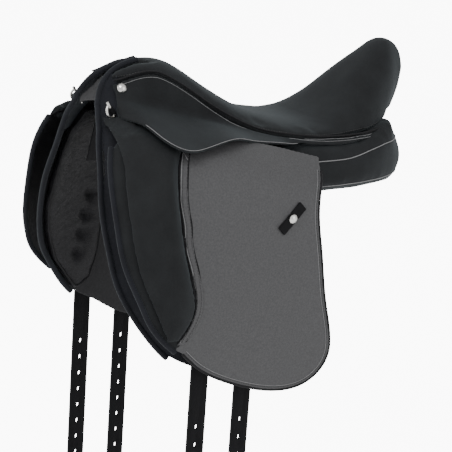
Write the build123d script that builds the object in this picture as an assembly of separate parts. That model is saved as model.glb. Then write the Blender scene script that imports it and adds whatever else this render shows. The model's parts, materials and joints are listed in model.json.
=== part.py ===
from build123d import *
import math
import os

# English saddle, left half modelled and mirrored.
# Millimetres, +Z up, -Y towards the pommel, +X towards the saddle's left side.
# The origin is on the middle plane, under the deepest point of the seat, at the level the panels bear on.

# ---- driving dimensions -------------------------------------------------------------------
GAP = 0.4                      # air left between neighbouring soft layers
LEATHER = 3.0                  # sweat flap thickness
FLAP_THICK = 4.0
COVER = 1.6                    # seat, block and panel cover thickness
BAND_WIDTH = 9.5               # raised stitched band between the block and the flap panel
BAND_THICK = 2.2
SWEAT_ROLL_R = 4.2             # rounded edge band of the sweat flap and pommel
FLAP_ROLL_R = 3.6
WELT_R = 1.5
WELT_OUT, WELT_DROP = 2.7, 0.6       # its middle, out and down from the seat's rim
WELT_FRONT_Y, WELT_REAR_Y = -254.0, 188.0
AIR = 0.15                     # hairline between a cover and the foam inside it
FOAM_THICK = 11.0
TREE_THICK = 7.0
LAYER_AIR = 1.8                # room between the layers of the seat
TREE_DEPTH = COVER + FOAM_THICK + 2 * LAYER_AIR
TREE_SLOT = ((-20, -60), (20, -60), (24, 90), (-24, 90))
BAR_RIVETS = ((36, -158), (36, -146))
# Stirrup bar in cross-section, as (out, up): the arm riveted under the tree, then the blade.
BAR_ARM = ((31, 106), (48, 106), (84, 97), (103, 93), (103, 89), (84, 93), (48, 102), (31, 102))
BAR_BLADE = ((90, 96.4), (103, 93), (103, 89), (90, 92.4))
BAR_FRONT_Y = -164.0
BAR_ARM_WIDTH = 24.0
BAR_BLADE_LENGTH = 46.0
RIVET_BORE_LENGTH = 120.0      # longer than any part a rivet hole goes through
BAR_NOTCH_CENTRE = (96, -136, 104)   # room left in the flap for the bar and its leather
BAR_NOTCH_SIZE = (60, 84, 50)
RIVET_FOOT_Z = 101.6
SKIRT_THICK = 4.2
STRAP_WIDTH = 25.0
STRAP_THICK = 4.0
STRAP_END_Z = -508.0
STRAP_HOLES = 9
STRAP_PITCH = 25.4
STRAP_HOLE_WIDTH = 4.0
STRAP_HOLE_LENGTH = 7.5
FIRST_HOLE_Z = -276.0
FRONT_STRAP_Y = -182.0
REAR_STRAP_Y = -115.0
STRAP_TOP_Z = 62.0
STRAP_FACE_X = 170.0           # outer face of the hanging straps
STRAP_HANG_Z = -20.0           # below this the straps leave the curve of the flap
STRAP_GAP = 6.0                # room between the straps and the flap, for their swing
STRAP_STRAIGHT_Z = (-70, -200)   # heights between which it already hangs straight
STRAP_TIP_R = 9.0
WEB_SETBACK = 13.8             # webbing that carries the straps, in from the flap
WEB_THICK = 1.6
WEB_MARGIN = 14.0              # its length past the middle of each strap
WEB_HEIGHTS = (50, 84)
NAIL_R = 6.3
NAIL_HEIGHT = 3.2
STUD_HEIGHT = 2.6
NAIL_Y = -245.0
NAIL_SHARE = 0.40              # how far down the strip the nail sits
NAIL_STANDOFF = 0.5
STUD_R = 6.0
STUD_STANDOFF = 2.0            # clears the slope of the keeper under the flat back of the stud
DEE_WIRE_R = 1.6
CHAPE_THICK = 1.8
CHAPE_HEIGHT = 9.0
CHAPE_REACH = 10.0
DEE_BAR_R = 1.9
DEE_HALF = 9.0
DEE_CENTRE = (48.0, -264.0, 122.0)
DEE_TILT = 33.0                # the bar leans forward, along the front edge of the skirt
DEE_TURN = 25.0                # the ring rests swung out from the bar
RIVET_R = 2.2
PIN_CLEARANCE = 0.05

SEAT_ROWS = 29
# Places across the seat, as shares of its half width.
SEAT_COLUMNS = (-1, -0.97, -0.92, -0.85, -0.75, -0.55, -0.3, 0, 0.3, 0.55, 0.75, 0.85, 0.92, 0.97, 1)

# Seat stations: position along the saddle, half width, crown height, edge height, roundness of the section.
SEAT = (
    (-275, 25, 158, 151, 2.2),
    (-240, 30, 170, 161, 2.2),
    (-203, 37, 177.5, 169, 2.2),
    (-171, 47, 173, 156, 2.0),
    (-143, 57, 158, 137, 2.0),
    (-109, 70, 136, 115.5, 2.2),
    (-66, 80, 112, 96, 2.4),
    (-23, 86, 97, 87, 2.7),
    (33, 88, 88, 80, 3.0),
    (60, 88, 93, 79, 3.1),
    (87, 87, 109, 79, 3.2),
    (119, 82, 138, 80, 3.2),
    (143, 73, 161, 82, 3.0),
    (177, 54, 189, 86, 2.7),
    (201, 31, 188, 89, 2.5),
    (222, 10, 147, 92, 2.4),
)
SEAT_FRONT_Y = -256.0
SEAT_REAR_Y = 219.0

# The line the flap and the skirt fold about.
FOLD_FRONT = (39.0, -258.0, 135.0)
FOLD_REAR = (98.0, 0.0, 71.0)
STRIP_AT_FOLD = (-1.2, 0, 0.8)       # hairline between the fixed strip and the skirt that folds from it
LEAF_AT_FOLD = (0.2, 0, -0.2)
STRIP_INNER = (0.8, 7.2)             # upper edge of the strip, out and down from the seat's rim
STRIP_FRONT_Y, STRIP_REAR_Y = -256.0, 156.0
FLAP_BELOW_FOLD = (-2, 0, -16)       # the flap's top edge against the fold line

# Free edge of the skirt, from the nail corner to where it dies into the rear band,
# paired with the place along the saddle where each point hangs from the fold line.
SKIRT_EDGE = (
    (-257.5, (52, -259, 113)),
    (-246, (78, -250, 112)),
    (-226, (110, -239, 106)),
    (-206, (137, -228, 95)),
    (-186, (150, -211, 88)),
    (-160, (145, -182, 87)),
    (-135, (137, -145, 93)),
    (-100, (125, -111, 90)),
    (-65, (112, -65, 80)),
    (-35, (103, -28, 73.5)),
    (-8, (98.5, -5, 70)),
)
# Lower edge of the band behind it, round to the cantle.
REAR_BAND_EDGE = ((0, 98, 70), (30, 98, 67), (54, 97, 65), (98, 93, 68), (134, 84, 73), (160, 71, 80))

# Flap inner face: distance out from the middle plane against height, at three places along the saddle.
FLAP_FRONT_Y, FLAP_MID_Y, FLAP_REAR_Y = -290.0, -150.0, 0.0
FLAP_FRONT = (
    (-245, 177), (-123, 170), (-99, 164), (-48, 144), (-1, 130), (45, 113), (86, 86), (102, 66),
    (125, 40),
)
FLAP_MID = (
    (-245, 183), (-120, 182), (-60, 178), (-20, 172), (20, 163), (58, 149), (74, 138), (92, 115),
    (108, 80), (125, 46),
)
FLAP_REAR = (
    (-245, 186), (-117, 186), (-46, 182), (7, 170), (36, 155), (52, 137), (62, 120), (70, 105),
    (92, 72), (125, 34),
)

# Sweat flap outer face, the same way.
SWEAT_FRONT = (
    (-245, 134), (-189, 133), (-137, 126), (-82, 113), (-26, 95), (27, 75), (77, 55), (125, 36),
)
SWEAT_MID = (
    (-245, 140), (-190, 145), (-120, 151), (-60, 153), (-20, 151), (20, 144), (60, 128), (92, 98),
    (125, 50),
)
SWEAT_REAR = (
    (-245, 150), (-120, 154), (-60, 152), (20, 141), (45, 122), (60, 103), (92, 62), (125, 24),
)

# Outlines in the side view, as (along, height): the free edge from the top of the front, round the bottom
# and up the back, then the corners along the top.
FLAP_EDGE = (
    (-268, 98), (-288, 86), (-294, 66), (-297, 42), (-296, 0), (-292, -48), (-286, -73),
    (-277, -99), (-267, -123), (-252, -143), (-232, -162), (-204, -183), (-161, -207),
    (-115, -225), (-76, -234), (-36, -232), (-9, -216), (4, -192), (4, -170), (-8, -117),
    (-18, -46), (-19, 7), (-6, 40), (20, 66),
)
FLAP_TOP = ((18, 100), (-120, 120), (-236, 150))
FLAP_EDGE_ROLLED = 11          # points of the free edge that belong to the rolled front
SWEAT_EDGE = (
    (-283, 101), (-287, 77), (-289, 52), (-292, 27), (-294, 1), (-293, -26), (-290, -54),
    (-285, -82), (-274, -112), (-259, -137), (-240, -164), (-217, -190), (-182, -204),
    (-156, -217), (-115, -234), (-70, -232), (-34, -200), (-22, -120), (-20, 0), (-10, 48),
)
SWEAT_TOP = ((-40, 56), (-165, 72), (-200, 98), (-240, 118))
SWEAT_EDGE_ROLLED = 12
ROLL_TURNS_AT = 8              # from here the rolled edge runs under the flap as well as in front of it
SIDE_REACH = 260.0             # further out than anything on one side
SWEAT_FRONT_EDGE = (
    (36, -279, 122), (46, -283, 101), (54, -287, 77), (64, -289, 52), (74, -292, 27),
    (84, -294, 1), (94, -293, -26), (104, -290, -54), (112, -285, -82), (122, -274, -112),
    (127, -259, -137), (134, -240, -164), (139, -219, -187),
)
BAND_LINE = (
    (-186, 92), (-203, 68), (-209, 35), (-208, -2), (-203, -47), (-194, -86), (-194, -104),
    (-201, -126), (-219, -151),
)
BLOCK_FRONT_INSET = 14.0
BLOCK_HEIGHT = ((-158, 3), (-120, 8), (-60, 14), (0, 20), (45, 21), (75, 15), (95, 8), (125, 5))
BLOCK_RIDGE_BACK = 16.0        # distance from the ridge back to the foot of the block
BLOCK_TOE = 5.0                # thickness at the front of the block
BLOCK_AIR = 1.2                # room between the block's foam and its cover
BLOCK_FLOOR = 1.5              # foam kept off the flap, over the curve of its face
BLOCK_LEAST = 0.3              # foam never thinner than this
BLOCK_SECTIONS = (-146, -122, -98, -66, -32, 5, 38, 62, 82, 98)   # heights the block is drawn at
BLOCK_STANDOFF = 0.5           # hairline between the block and the flap it is sewn to

# Panels, by station along the saddle: half width, top near the channel and at the outer edge,
# underside near the channel and at its lowest, and height of the lower seam.
PANEL = (
    (-150, 92, 98, 72, 80, 30, 44),
    (-100, 98, 80, 66, 50, 12, 30),
    (-50, 106, 62, 56, 26, 4, 20),
    (0, 112, 54, 54, 16, 2, 17),
    (50, 114, 53, 53, 14, 1, 17),
    (95, 110, 54, 54, 13, 0, 18),
    (135, 100, 60, 62, 13, 0, 18),
    (165, 86, 66, 70, 13, -1, 17),
    (185, 72, 66, 72, 16, 2, 22),
    (199, 60, 54, 58, 26, 14, 30),
)
CHANNEL = 27.0                 # half width of the gullet channel
LEAF_OUTLINE = (
    (-246, 100), (-264, 71), (-272, 33), (-277, -5), (-279, -43), (-271, -83), (-252, -132), (-214, -180),
    (-190, -166), (-178, -129), (-172, -60), (-153, 10), (-152, 84), (-200, 98),
)
LEAF_THICK = 15.0

# Left binding roll of the pommel, from the middle down to the top of the sweat flap.
BINDING = ((4.6, -206, 177), (5.4, -232, 170), (11.5, -252, 160.5), (18.2, -264.8, 148.2), (24, -271, 137),
           (31, -276, 125))
# Facing under it: its top on the middle plane, and its lower edge over the gullet arch.
FACING_TOP = (0, -216, 164)
FACING_THICK = 2.0
ARCH_EDGE = ((0, -252, 122), (8, -256, 122), (16, -262, 121), (24, -267, 119), (30, -271, 116))
# Cut-back of the pommel seen from above, left half, before the margin round it.
NOTCH_OUTLINE = ((0, -198), (4, -198), (7, -238), (17, -256), (20, -300))

# Steel gullet plate: its arch seen from the front, left half.
ARCH = ((0, 127), (20, 125), (34, 113), (45, 90), (56, 60), (68, 25))
ARCH_FRONT_Y = -236.0
ARCH_WIDTH = 34.0
ARCH_THICK = 2.5

KEEPER_CENTRE = (-62, -3)
KEEPER_SIZE = (47, 13)
KEEPER_TILT = 41.0
KEEPER_THICK = 2.4


# ---- helpers ------------------------------------------------------------------------------
def track(table, at, column=1):
    """Smooth value of a column of a station table, between the stations on either side."""
    rows = sorted(table)
    if at <= rows[0][0]:
        return rows[0][column]
    if at >= rows[-1][0]:
        return rows[-1][column]
    last = max(i for i in range(len(rows) - 1) if rows[i][0] <= at)
    low, high = rows[last], rows[last + 1]

    def slope(i):
        before, after = rows[max(i - 1, 0)], rows[min(i + 1, len(rows) - 1)]
        return (after[column] - before[column]) / (after[0] - before[0])

    span = high[0] - low[0]
    t = (at - low[0]) / span
    return (
        low[column] * (1 + 2 * t) * (1 - t) ** 2
        + high[column] * t * t * (3 - 2 * t)
        + slope(last) * span * t * (1 - t) ** 2
        + slope(last + 1) * span * t * t * (t - 1)
    )


def steps(low, high, count):
    """Evenly spaced values from low to high."""
    return [low + (high - low) * i / (count - 1) for i in range(count)]


def mix(a, b, t):
    """Point a share t of the way from a to b."""
    return tuple(p + (q - p) * t for p, q in zip(a, b))


def skin(grid):
    """Smooth face through a grid of points."""
    return Face.make_surface_from_array_of_points([[Vector(*p) for p in row] for row in grid], tol=0.02)


def plate(grid, push):
    """Sheet with one face through a grid of points, pushed along a vector."""
    return Solid.extrude(skin(grid), Vector(*push))


def corners(points):
    """Outline runs for a straight-sided outline."""
    return [[point] for point in points]


def outline_face(runs, plane):
    """Face inside smooth runs of points, joined end to end by straight lines."""
    placed = [[plane.from_local_coords(Vector(a, b, 0)) for a, b in run] for run in runs]
    edges = []
    for run, after in zip(placed, placed[1:] + placed[:1]):
        if len(run) > 1:
            edges.append(Edge.make_spline(run))
        edges.append(Edge.make_line(run[-1], after[0]))
    return Face(Wire(edges))


def side_prism(runs, low, high):
    """Prism along X over an outline given as (along, height)."""
    return Solid.extrude(outline_face(runs, Plane.YZ.offset(low)), Vector(high - low, 0, 0))


def plan_prism(points, low, high):
    """Prism along Z over a straight-sided outline seen from above."""
    return Solid.extrude(outline_face(corners(points), Plane.XY.offset(low)), Vector(0, 0, high - low))


def tube(points, radius):
    """Round roll along a smooth line."""
    path = Edge.make_spline([Vector(*p) for p in points])
    start = Plane(origin=path @ 0, z_dir=path % 0)
    return Solid.sweep(Face(Wire.make_circle(radius, start)), path)


def only(shape):
    """The largest solid of a boolean result."""
    return max(shape.solids(), key=lambda s: s.volume)


def write(name, *shapes):
    """Write one node as a STEP file."""
    solids = [s for shape in shapes for s in shape.solids()]
    export_step(Compound(children=solids), f"parts/{name}.step")


def write_pair(name, *shapes):
    """Write a left node and its mirror image on the right."""
    write(name + "_left", *shapes)
    write(name + "_right", *[s.mirror(Plane.YZ) for shape in shapes for s in shape.solids()])


# ---- surfaces -----------------------------------------------------------------------------
def across(front, mid, rear, along, height):
    """Distance out from the middle plane of a hanging sheet."""
    at_mid = track(mid, height)
    if along < FLAP_MID_Y:
        end, reach = track(front, height), (FLAP_MID_Y - along) / (FLAP_MID_Y - FLAP_FRONT_Y)
    else:
        end, reach = track(rear, height), (along - FLAP_MID_Y) / (FLAP_REAR_Y - FLAP_MID_Y)
    return at_mid + (end - at_mid) * min(reach, 1.15) ** 2


def flap_x(along, height):
    return across(FLAP_FRONT, FLAP_MID, FLAP_REAR, along, height)


def sweat_x(along, height):
    return across(SWEAT_FRONT, SWEAT_MID, SWEAT_REAR, along, height)


def hanging_grid(surface, offset=0.0, along=(-306, 32), height=(-245, 124)):
    """Grid of points over a hanging sheet."""
    return [
        [(surface(y, z) + offset, y, z) for z in steps(height[0], height[1], 16)]
        for y in steps(along[0], along[1], 10)
    ]


def fold_point(along, drop=(0, 0, 0)):
    """Point on the fold line at a place along the saddle."""
    share = (along - FOLD_FRONT[1]) / (FOLD_REAR[1] - FOLD_FRONT[1])
    return tuple(p + d for p, d in zip(mix(FOLD_FRONT, FOLD_REAR, share), drop))


def seat_half_width(along):
    return track(SEAT, along, 1)


def seat_edge_z(along):
    return track(SEAT, along, 3)


def seat_top(x, along):
    """Height of the seat's upper surface."""
    width, crown, edge, power = (track(SEAT, along, c) for c in (1, 2, 3, 4))
    return crown - (crown - edge) * min(abs(x) / width, 1.08) ** power


def whole_outline(half):
    """Closed outline made from a left half outline whose two ends lie on the middle plane."""
    return half + [(-x, y) for x, y in reversed(half[1:-1])]


# ---- seat and tree ------------------------------------------------------------------------
def seat_layer(depth, thickness, trim):
    """One layer of the seat: a sheet that follows the seat's top, trimmed round its rim."""
    rows = []
    for y in steps(SEAT_FRONT_Y, SEAT_REAR_Y, SEAT_ROWS)[trim:SEAT_ROWS - trim]:
        width = seat_half_width(y)
        columns = SEAT_COLUMNS[trim:len(SEAT_COLUMNS) - trim]
        rows.append([(width * t, y, seat_top(width * t, y) - depth) for t in columns])
    return plate(rows, (0, 0, -thickness))


def pommel_notch(margin):
    """Wedge left open by the cut-back pommel."""
    top, side, *rest = NOTCH_OUTLINE
    half = [(0, top[1] + margin), (side[0] + margin, side[1] + margin)] + [(x + margin, y) for x, y in rest]
    return plan_prism(whole_outline(half + [(0, -310)]), 60, 240)


def make_seat():
    cover = seat_layer(0, COVER, 0)
    foam = seat_layer(COVER + LAYER_AIR, FOAM_THICK, 2)
    write("seat_cover", only(cover - pommel_notch(5)))
    write("seat_foam", only(foam - pommel_notch(6)))


def welt_points():
    ys = steps(WELT_FRONT_Y, WELT_REAR_Y, 24)
    return [(seat_half_width(y) + WELT_OUT, y, seat_edge_z(y) - WELT_DROP) for y in ys]


def make_seat_welt():
    write_pair("seat_welt", tube(welt_points(), WELT_R))


def make_tree():
    body = seat_layer(TREE_DEPTH, TREE_THICK, 3)
    slot = plan_prism(TREE_SLOT, 20, 240)
    body = only(only(body - slot) - pommel_notch(7))
    for side in (1, -1):
        for x, y in BAR_RIVETS:
            body = only(body - Pos(side * x, y, BAR_ARM[0][1]) * Cylinder(RIVET_R, RIVET_BORE_LENGTH))
    write("tree", body)


def make_head_plate():
    """Steel gullet plate: an arch under the head of the tree."""
    left = [Vector(x, ARCH_FRONT_Y, z) for x, z in ARCH]
    right = [Vector(-p.X, p.Y, p.Z) for p in reversed(left[1:])]
    ribbon = Face.extrude(Edge.make_spline(right + left), Vector(0, ARCH_WIDTH, 0))
    write("gullet_plate", Solid.thicken(ribbon, -ARCH_THICK))


def facing_column(index):
    """Points from the arch edge up to just clear of the binding roll."""
    low, roll = Vector(*ARCH_EDGE[index]), Vector(*BINDING[index])
    along_roll = (Vector(*BINDING[index + 1]) - Vector(*BINDING[index - 1])).normalized()
    rise = roll - low
    across_roll = rise.normalized().cross(along_roll).length
    share = 1 - (SWEAT_ROLL_R + FACING_THICK + 1.6) / across_roll / rise.length
    return [mix(ARCH_EDGE[index], BINDING[index], t) for t in steps(0, share, 5)]


def make_pommel():
    """Leather facing over the gullet arch, and the two binding rolls above it."""
    left = [[mix(ARCH_EDGE[0], FACING_TOP, t) for t in steps(0, 1, 5)]]
    left += [facing_column(i) for i in range(1, len(ARCH_EDGE))]
    right = [[(-x, y, z) for x, y, z in row] for row in reversed(left[1:])]
    write("gullet_facing", plate(right + left, (0, FACING_THICK, 0)))
    roll = tube(BINDING, SWEAT_ROLL_R)
    write("pommel_binding", roll, roll.mirror(Plane.YZ))


# ---- skirts -------------------------------------------------------------------------------
def strip_row(along):
    """Points down the fixed strip at a place along the saddle, from the seat's rim to the fold."""
    inner = (seat_half_width(along) + STRIP_INNER[0], along, seat_edge_z(along) - STRIP_INNER[1])
    outer = fold_point(along, STRIP_AT_FOLD)
    if along >= 0:
        outer = (track(REAR_BAND_EDGE, along, 1) - 2, along, track(REAR_BAND_EDGE, along, 2))
    return [mix(inner, outer, t) for t in steps(0, 1, 4)]


def make_skirts():
    push = (SKIRT_THICK * 0.6, 0, SKIRT_THICK * 0.8)
    strip_rows = [strip_row(y) for y in steps(STRIP_FRONT_Y, STRIP_REAR_Y, 26)]
    write_pair("skirt_band", plate(strip_rows, push))
    leaf_rows = []
    for at, edge in SKIRT_EDGE:
        leaf_rows.append([mix(fold_point(at, LEAF_AT_FOLD), edge, t) for t in steps(0, 1, 5)])
    write_pair("skirt", plate(leaf_rows, push))


# ---- flap and what it carries -------------------------------------------------------------
def cut_by_fold(shape, drop):
    """Keep only what lies below and outside the fold line."""
    a, b = fold_point(-330, drop), fold_point(60, drop)
    wall = [(a[1], a[2]), (b[1], b[2]), (60, -300), (-330, -300)]
    return only(shape & side_prism(corners(wall), 0, SIDE_REACH))


def bar_notch():
    """Room in the flap for the stirrup bar and its leather."""
    return Pos(*BAR_NOTCH_CENTRE) * Box(*BAR_NOTCH_SIZE)


def make_flap():
    sheet = plate(hanging_grid(flap_x), (FLAP_THICK, 0, 0))
    flap = only(sheet & side_prism(trimmed_flap_outline(), 0, SIDE_REACH))
    flap = cut_by_fold(flap, FLAP_BELOW_FOLD)
    flap = only(flap - bar_notch())
    write_pair("flap", flap)


def trimmed(outline, rolled, inset, lift):
    """Free edge of a flap, drawn in behind its rolled front edge and eased out after it."""
    out = []
    for i, (y, z) in enumerate(outline):
        share = 1 if i < rolled else 0.5 * (i == rolled)
        rising = lift * (ROLL_TURNS_AT <= i < rolled)
        out.append((y + inset * share, z + rising))
    return out


def trimmed_flap_outline():
    edge = trimmed(FLAP_EDGE, FLAP_EDGE_ROLLED, 2 * FLAP_ROLL_R + 0.8, 2.8)
    return [edge] + corners(FLAP_TOP)


def make_flap_roll():
    path = []
    for y, z in FLAP_EDGE[1:FLAP_EDGE_ROLLED]:
        path.append((flap_x(y, z) + FLAP_THICK / 2, y + FLAP_ROLL_R, z))
    write_pair("flap_front_roll", tube(path, FLAP_ROLL_R))


def band_strip(inner, outer):
    """Outline of a strip along the band line, between two setbacks."""
    front = [(y - outer, z) for y, z in BAND_LINE]
    back = [(y - inner, z) for y, z in reversed(BAND_LINE)]
    return [front, back]


def make_flap_band():
    sheet = plate(hanging_grid(flap_x, FLAP_THICK + 0.05), (BAND_THICK, 0, 0))
    band = only(sheet & side_prism(band_strip(0, BAND_WIDTH), 0, SIDE_REACH))
    write_pair("flap_band", band)


def block_span(height):
    """Front and back of the thigh block at a height."""
    toe = track([(z, y) for y, z in FLAP_EDGE[2:10]], height) + BLOCK_FRONT_INSET
    foot = track([(z, y) for y, z in BAND_LINE], height) - BAND_WIDTH - 2
    return toe, foot


def block_rise(along, height):
    """Height of the thigh block above the flap: low at the toe, a ridge towards the back, then the foot."""
    toe, foot = block_span(height)
    ridge = foot - BLOCK_RIDGE_BACK
    peak = track(BLOCK_HEIGHT, height)
    low = min(BLOCK_TOE, peak)
    if along <= ridge:
        t = max(0.0, min(1.0, (along - toe) / max(ridge - toe, 1)))
        return low + (peak - low) * math.sin(t * math.pi / 2) ** 1.3
    t = min(1.0, (along - ridge) / BLOCK_RIDGE_BACK)
    return peak - (peak - 3.2) * (1 - math.cos(t * math.pi)) / 2


def block_base(along, height):
    return flap_x(along, height) + FLAP_THICK + BLOCK_STANDOFF


def block_path(height, shrink):
    """Outer side of the block's section at a height, from the toe over the ridge to the foot."""
    toe, foot = block_span(height)
    toe, foot = toe + shrink, foot - shrink
    ridge = 1 - BLOCK_RIDGE_BACK / (foot - toe)
    shares = (0, 0.25 * ridge, 0.6 * ridge, ridge, 0.5 + 0.5 * ridge, 1)
    ys = [toe + (foot - toe) * t for t in shares]
    least = BLOCK_FLOOR + BLOCK_LEAST
    return [(block_base(y, height) + max(block_rise(y, height) - shrink, least), y, height) for y in ys]


def block_floor(height, inset):
    """Inner side of the block's section at a height, from the foot back to the toe."""
    toe, foot = block_span(height)
    return [(block_base(y, height) + BLOCK_FLOOR, y, height) for y in steps(foot - inset, toe + inset, 4)]


def section_wire(points):
    return Wire.make_polygon([Vector(*p) for p in points], close=True)


def make_block():
    inset = COVER + BLOCK_AIR
    foam = [section_wire(block_path(z, inset) + block_floor(z, inset)) for z in BLOCK_SECTIONS]
    write_pair("block_foam", Solid.make_loft(foam, True))
    rows = [[(x - COVER, y, z) for x, y, z in block_path(z, 0)] for z in BLOCK_SECTIONS]
    write_pair("block_cover", plate(rows, (COVER, 0, 0)))


def make_keeper():
    length, width = KEEPER_SIZE
    y, z = KEEPER_CENTRE
    sheet = plate(hanging_grid(flap_x, FLAP_THICK + GAP), (KEEPER_THICK, 0, 0))
    shape = Location((0, y, z), (KEEPER_TILT, 0, 0)) * Pos(200, 0, 0) * Box(200, length, width)
    write_pair("keeper", only(sheet & shape))
    face = flap_x(y, z) + FLAP_THICK + KEEPER_THICK + STUD_STANDOFF
    dome = Pos(face, y, z) * Rot(0, 90, 0) * stud_shape(STUD_R, STUD_HEIGHT)
    write_pair("keeper_stud", dome)


def stud_shape(radius, height):
    """Low dome standing on the local XY plane."""
    ball_r = (radius * radius + height * height) / (2 * height)
    ball = Pos(0, 0, height - ball_r) * Sphere(ball_r)
    return ball & (Pos(0, 0, height) * Cylinder(radius, 2 * height))


# ---- sweat flap and panels ----------------------------------------------------------------
def make_sweat_flap():
    sheet = plate(hanging_grid(sweat_x, -LEATHER), (LEATHER, 0, 0))
    edge = trimmed(SWEAT_EDGE, SWEAT_EDGE_ROLLED, 2 * SWEAT_ROLL_R + 2.2, 2)
    outline = [edge] + corners(SWEAT_TOP)
    write_pair("sweat_flap", only(sheet & side_prism(outline, 0, SIDE_REACH)))
    path = [(x, y + SWEAT_ROLL_R, z) for x, y, z in SWEAT_FRONT_EDGE[1:]]
    write_pair("sweat_flap_roll", tube(path, SWEAT_ROLL_R))


def make_panel_front():
    outline = side_prism(corners(LEAF_OUTLINE), 0, SIDE_REACH)
    back = LEATHER + GAP + LEAF_THICK
    foam = plate(hanging_grid(sweat_x, COVER + AIR - back), (LEAF_THICK - COVER - AIR, 0, 0))
    cover = plate(hanging_grid(sweat_x, -back), (COVER, 0, 0))
    write_pair("panel_front_foam", only(foam & outline))
    write_pair("panel_front_cover", only(cover & outline))


def panel_path(station, shrink, top_drop=0.0):
    """Section of a panel: down the channel wall, under the horse side and up the outer wall."""
    y, width, near, far, low_near, low, side = station
    span = width - CHANNEL
    return [
        Vector(CHANNEL + shrink, y, near - top_drop),
        Vector(CHANNEL + shrink, y, low_near + shrink),
        Vector(CHANNEL + 0.3 * span, y, 0.55 * low_near + 0.45 * low + shrink),
        Vector(CHANNEL + 0.62 * span, y, low + shrink),
        Vector(CHANNEL + 0.86 * span - shrink, y, low + 5 + shrink),
        Vector(width - shrink, y, side),
        Vector(width - 1 - shrink, y, 0.45 * side + 0.55 * far),
        Vector(width - 6 - shrink, y, far - top_drop),
    ]


def make_panel():
    foam = [Wire.make_polygon(panel_path(row, COVER + AIR, 0.2), close=True) for row in PANEL]
    cover = []
    for row in PANEL:
        skin = panel_path(row, 0) + list(reversed(panel_path(row, COVER)))
        cover.append(Wire.make_polygon(skin, close=True))
    write_pair("panel_foam", Solid.make_loft(foam, True))
    write_pair("panel_cover", Solid.make_loft(cover, True))


# ---- girth straps -------------------------------------------------------------------------
def strap_profile(along):
    """Outer face of a strap: it follows the inside of the flap and then hangs straight."""
    upper = [
        (min(flap_x(along, z) - STRAP_GAP, STRAP_FACE_X), z)
        for z in steps(STRAP_TOP_Z, STRAP_HANG_Z, 7)
    ]
    return upper + [(STRAP_FACE_X, z) for z in (*STRAP_STRAIGHT_Z, STRAP_END_Z)]


def strap(along):
    outer = [Vector(x, along - STRAP_WIDTH / 2, z) for x, z in strap_profile(along)]
    inner = [Vector(p.X - STRAP_THICK, p.Y, p.Z) for p in outer]
    curve_out = Edge.make_spline(outer[:-2])
    curve_in = Edge.make_spline(inner[:-2])
    edges = [
        curve_out,
        Edge.make_line(outer[-3], outer[-1]),
        Edge.make_line(outer[-1], inner[-1]),
        Edge.make_line(inner[-1], inner[-3]),
        curve_in,
        Edge.make_line(inner[0], outer[0]),
    ]
    body = Solid.extrude(Face(Wire(edges)), Vector(0, STRAP_WIDTH, 0))
    middle_x = STRAP_FACE_X - STRAP_THICK / 2
    slot = Pos(middle_x, along, 0) * Rot(0, 90, 0) * extrude(
        SlotOverall(STRAP_HOLE_LENGTH, STRAP_HOLE_WIDTH), amount=STRAP_THICK, both=True
    )
    cutters = [Pos(0, 0, FIRST_HOLE_Z - i * STRAP_PITCH) * slot for i in range(STRAP_HOLES)]
    for cutter in cutters:
        body = only(body - cutter)
    tip = [e for e in body.edges().filter_by(Axis.X) if abs(e.center().Z - STRAP_END_Z) < 1]
    return body.fillet(STRAP_TIP_R, tip)


def make_straps():
    write_pair("girth_strap_front", strap(FRONT_STRAP_Y))
    write_pair("girth_strap_rear", strap(REAR_STRAP_Y))
    rows = [
        [(flap_x(y, z) - WEB_SETBACK, y, z) for z in steps(*WEB_HEIGHTS, 5)]
        for y in steps(FRONT_STRAP_Y - WEB_MARGIN, REAR_STRAP_Y + WEB_MARGIN, 6)
    ]
    write_pair("girth_web", plate(rows, (WEB_THICK, 0, 0)))


# ---- hardware -----------------------------------------------------------------------------
def bar_length(profile, length):
    """Piece of the stirrup bar running back from its front end."""
    face = outline_face(corners(profile), Plane.XZ.offset(-BAR_FRONT_Y))
    return Solid.extrude(face, Vector(0, length, 0))


def make_stirrup_bar():
    """Bar riveted under the tree: an arm and a blade lying along the saddle."""
    bar = only(bar_length(BAR_ARM, BAR_ARM_WIDTH) + bar_length(BAR_BLADE, BAR_BLADE_LENGTH))
    for x, y in BAR_RIVETS:
        bar = only(bar - Pos(x, y, BAR_ARM[0][1]) * Cylinder(RIVET_R, RIVET_BORE_LENGTH))
    write_pair("stirrup_bar", bar)
    rivets = []
    for x, y in BAR_RIVETS:
        length = seat_top(x, y) - TREE_DEPTH - 4 * AIR - RIVET_FOOT_Z
        rivets.append(Pos(x, y, RIVET_FOOT_Z + length / 2) * Cylinder(RIVET_R, length))
    write_pair("bar_rivets", *rivets)


def make_nail():
    """Domed nail at the front corner of the skirt, standing square on the strip."""
    row, ahead = strip_row(NAIL_Y), strip_row(NAIL_Y - 4)
    top = Vector(*mix(row[0], row[3], NAIL_SHARE)) + Vector(SKIRT_THICK * 0.6, 0, SKIRT_THICK * 0.8)
    down = Vector(*row[3]) - Vector(*row[0])
    forward = Vector(*mix(ahead[0], ahead[3], NAIL_SHARE)) - Vector(*mix(row[0], row[3], NAIL_SHARE))
    normal = down.cross(forward).normalized()
    if normal.Z < 0:
        normal = -normal
    seat = Plane(origin=top + normal * NAIL_STANDOFF, z_dir=normal)
    write_pair("saddle_nail", seat * stud_shape(NAIL_R, NAIL_HEIGHT))


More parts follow.
